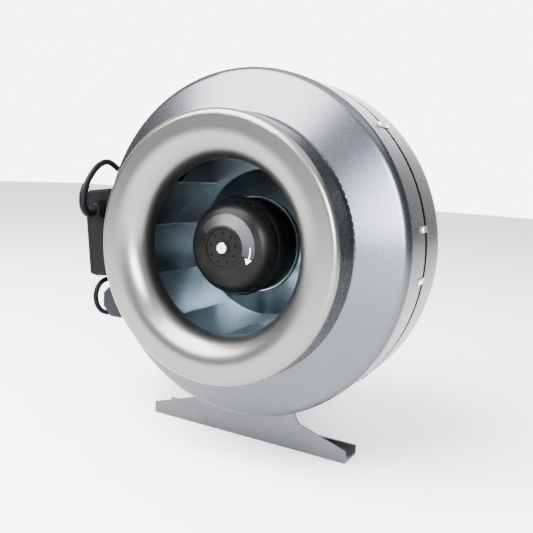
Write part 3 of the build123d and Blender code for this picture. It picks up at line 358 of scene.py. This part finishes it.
coil_low, coil_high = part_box("mains_coil")
coil_middle = (coil_low + coil_high) / 2
layer = 0.0060                # height of one layer of turns
turns_per_layer = 2.5
climb_share = 1 / 12          # share of the upper layer over which the lead climbs onto it
coil_outer = (coil_high.x - coil_low.x) / 2 - layer / 2
coil_inner = 0.02975
points_per_turn = 16


def coil_points():
    """Two and a half turns in along the floor, then two and a half out on top of them."""
    points = []
    steps = int(turns_per_layer * points_per_turn)
    reach = coil_outer - coil_inner
    for layer_index in range(2):
        for step in range(steps + (layer_index == 1)):
            share = step / steps
            radius = coil_outer - reach * share if layer_index == 0 else coil_inner + reach * share
            turns = (layer_index + share) * turns_per_layer
            angle = 1.5 * pi + 2 * pi * turns
            rise = 0.0 if layer_index == 0 else layer * min(1.0, share / climb_share)
            points.append((coil_middle.x + radius * cos(angle), coil_middle.y + radius * sin(angle),
                           coil_low.z + layer / 2 + rise))
    return points


plug_low, plug_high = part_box("plug_body")
plug_axis_x = (plug_low.x + plug_high.x) / 2
plug_axis_z = (plug_low.z + plug_high.z) / 2
mains_route = [
    (-0.19380, -0.00157, 0.13993),
    (-0.1963, -0.0138, 0.1406),
    (-0.1974, -0.0248, 0.1342),
    (-0.1972, -0.0297, 0.1225),
    (-0.1962, -0.0271, 0.1102),
    (-0.1956, -0.0180, 0.1014),
    (-0.1952, -0.0035, 0.0984),
    (-0.1934, 0.0119, 0.0954),
    (-0.1890, 0.0330, 0.0896),
    (-0.1795, 0.0590, 0.0760),
    (-0.1650, 0.0790, 0.0555),
    (-0.1475, 0.0925, 0.0330),
    (-0.1250, 0.1010, 0.0135),
    (-0.1005, 0.1038, 0.0046),
    (-0.0800, 0.1040, 0.0040),
]
tail_route = [
    (coil_middle.x + 0.0165, coil_middle.y - 0.0447, coil_high.z - 0.0010),
    (coil_middle.x + 0.0310, coil_middle.y - 0.0360, coil_high.z + 0.0065),
    (plug_axis_x, plug_low.y - 0.004, plug_axis_z),
    (plug_axis_x, plug_low.y, plug_axis_z),
]
mains_lead = flex("mains_flex", mains_route + coil_points() + tail_route, lead_rubber, mains_diameter)
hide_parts("mains_cord", "mains_coil", "mains_tail")


# ---------------------------------------------------------------- rotor label
label_low, label_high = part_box("rotor_label")
label_rim = (label_high.x - label_low.x) / 2
label_hub = 0.0201


def label_point(radius, angle, skin):
    """Point `skin` above the rotor's label cone, by its radius and angle."""
    share = (radius - label_hub) / (label_rim - label_hub)
    along = label_low.y + (label_high.y - label_low.y) * share - skin
    return (radius * cos(angle), along, axis_z + radius * sin(angle))


def patch(name, outline, material, skin):
    """A thin printed patch on the label cone, from rows of (radius, angle) pairs."""
    vertices = [label_point(*corner, skin) for row in outline for corner in row]
    width = len(outline[0])
    faces = []
    for row in range(len(outline) - 1):
        for column in range(width - 1):
            first = row * width + column
            faces.append((first, first + 1, first + width + 1, first + width))
    mesh = bpy.data.meshes.new(name)
    mesh.from_pydata(vertices, [], faces)
    mesh.materials.append(material)
    mesh.shade_smooth()
    piece = bpy.data.objects.new(name, mesh)
    bpy.context.scene.collection.objects.link(piece)
    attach(piece, "rotor")
    return piece


def ring_rows(start, end, inner, outer, steps):
    """Rows across a ring-shaped patch between two angles in degrees."""
    return [[(inner, radians(start + (end - start) * step / steps)),
             (outer, radians(start + (end - start) * step / steps))] for step in range(steps + 1)]


strip_skin, shaft_skin, head_skin = 0.00018, 0.00030, 0.00036
patch("label_strip", ring_rows(150, -14, 0.0212, 0.0352, 60), label_silver, strip_skin)
shaft_rows = ring_rows(6, -19, 0.0272, 0.0280, 16)
head_rows = [[(0.0274 - half, radians(angle)), (0.0274 + half, radians(angle))]
             for angle, half in ((-17, 0.0028), (-22, 0.0016), (-28, 0.0002))]
patch("label_arrow", shaft_rows, arrow_white, shaft_skin)
patch("label_arrow_head", head_rows, arrow_white, head_skin)


# ---------------------------------------------------------------- studio
def studio():
    """A pale floor and large soft lights. The surroundings are bright only behind the fan as the
    camera sees it, and dimmer all round, so that the metal keeps its contrast."""
    floor_mesh = bpy.data.meshes.new("floor")
    size = 6.0
    floor_mesh.from_pydata([(-size, -size, 0), (size, -size, 0), (size, size, 0), (-size, size, 0)], [],
                           [(0, 1, 2, 3)])
    floor = bpy.data.objects.new("floor", floor_mesh)
    bpy.context.scene.collection.objects.link(floor)
    material, node, feed = new_material("floor_white")
    mottle = noise(node, place(node, (1, 1, 1)), 3.0)
    feed("Base Color", ramp(node, mottle, (0.90, 0.90, 0.90), (0.93, 0.93, 0.93)))
    feed("Roughness", 0.8)
    floor_mesh.materials.append(material)
    world = bpy.data.worlds.new("studio")
    bpy.context.scene.world = world
    world.use_nodes = True
    backdrop = world.node_tree.nodes["Background"]
    backdrop.inputs["Color"].default_value = (0.97, 0.985, 1.0, 1)
    direction = world.node_tree.nodes.new("ShaderNodeTexCoord").outputs["Generated"]
    toward = world.node_tree.nodes.new("ShaderNodeVectorMath")
    toward.operation = "DOT_PRODUCT"
    toward.inputs[1].default_value = (-0.47, 0.87, 0.0)
    world.node_tree.links.new(direction, toward.inputs[0])
    glow = world.node_tree.nodes.new("ShaderNodeMapRange")
    glow.interpolation_type = "SMOOTHSTEP"
    for socket, value in (("From Min", 0.78), ("From Max", 0.88), ("To Min", 0.55), ("To Max", 7.0)):
        glow.inputs[socket].default_value = value
    world.node_tree.links.new(toward.outputs["Value"], glow.inputs["Value"])
    world.node_tree.links.new(glow.outputs["Result"], backdrop.inputs["Strength"])

    def lamp(name, where, aim, width, height, power, colour=(1, 1, 1)):
        data = bpy.data.lights.new(name, "AREA")
        data.shape = "RECTANGLE"
        data.size = width
        data.size_y = height
        data.energy = power
        data.color = colour
        light = bpy.data.objects.new(name, data)
        light.location = where
        light.rotation_euler = (Vector(aim) - Vector(where)).to_track_quat("-Z", "Y").to_euler()
        bpy.context.scene.collection.objects.link(light)

    middle = (0, 0, axis_z)
    lamp("key", (-0.60, -0.94, 1.48), middle, 1.5, 1.5, 230)
    lamp("side", (1.5, -1.8, 0.9), middle, 0.9, 1.2, 230, (0.90, 0.93, 1.0))
    sky = bpy.data.lights.new("sky", "SUN")
    sky.energy = 3.5
    sky.angle = radians(70)
    sky_light = bpy.data.objects.new("sky", sky)
    sky_light.location = (0, 0, 3)
    sky_light.rotation_euler = (radians(-8), radians(6), 0)
    bpy.context.scene.collection.objects.link(sky_light)


studio()
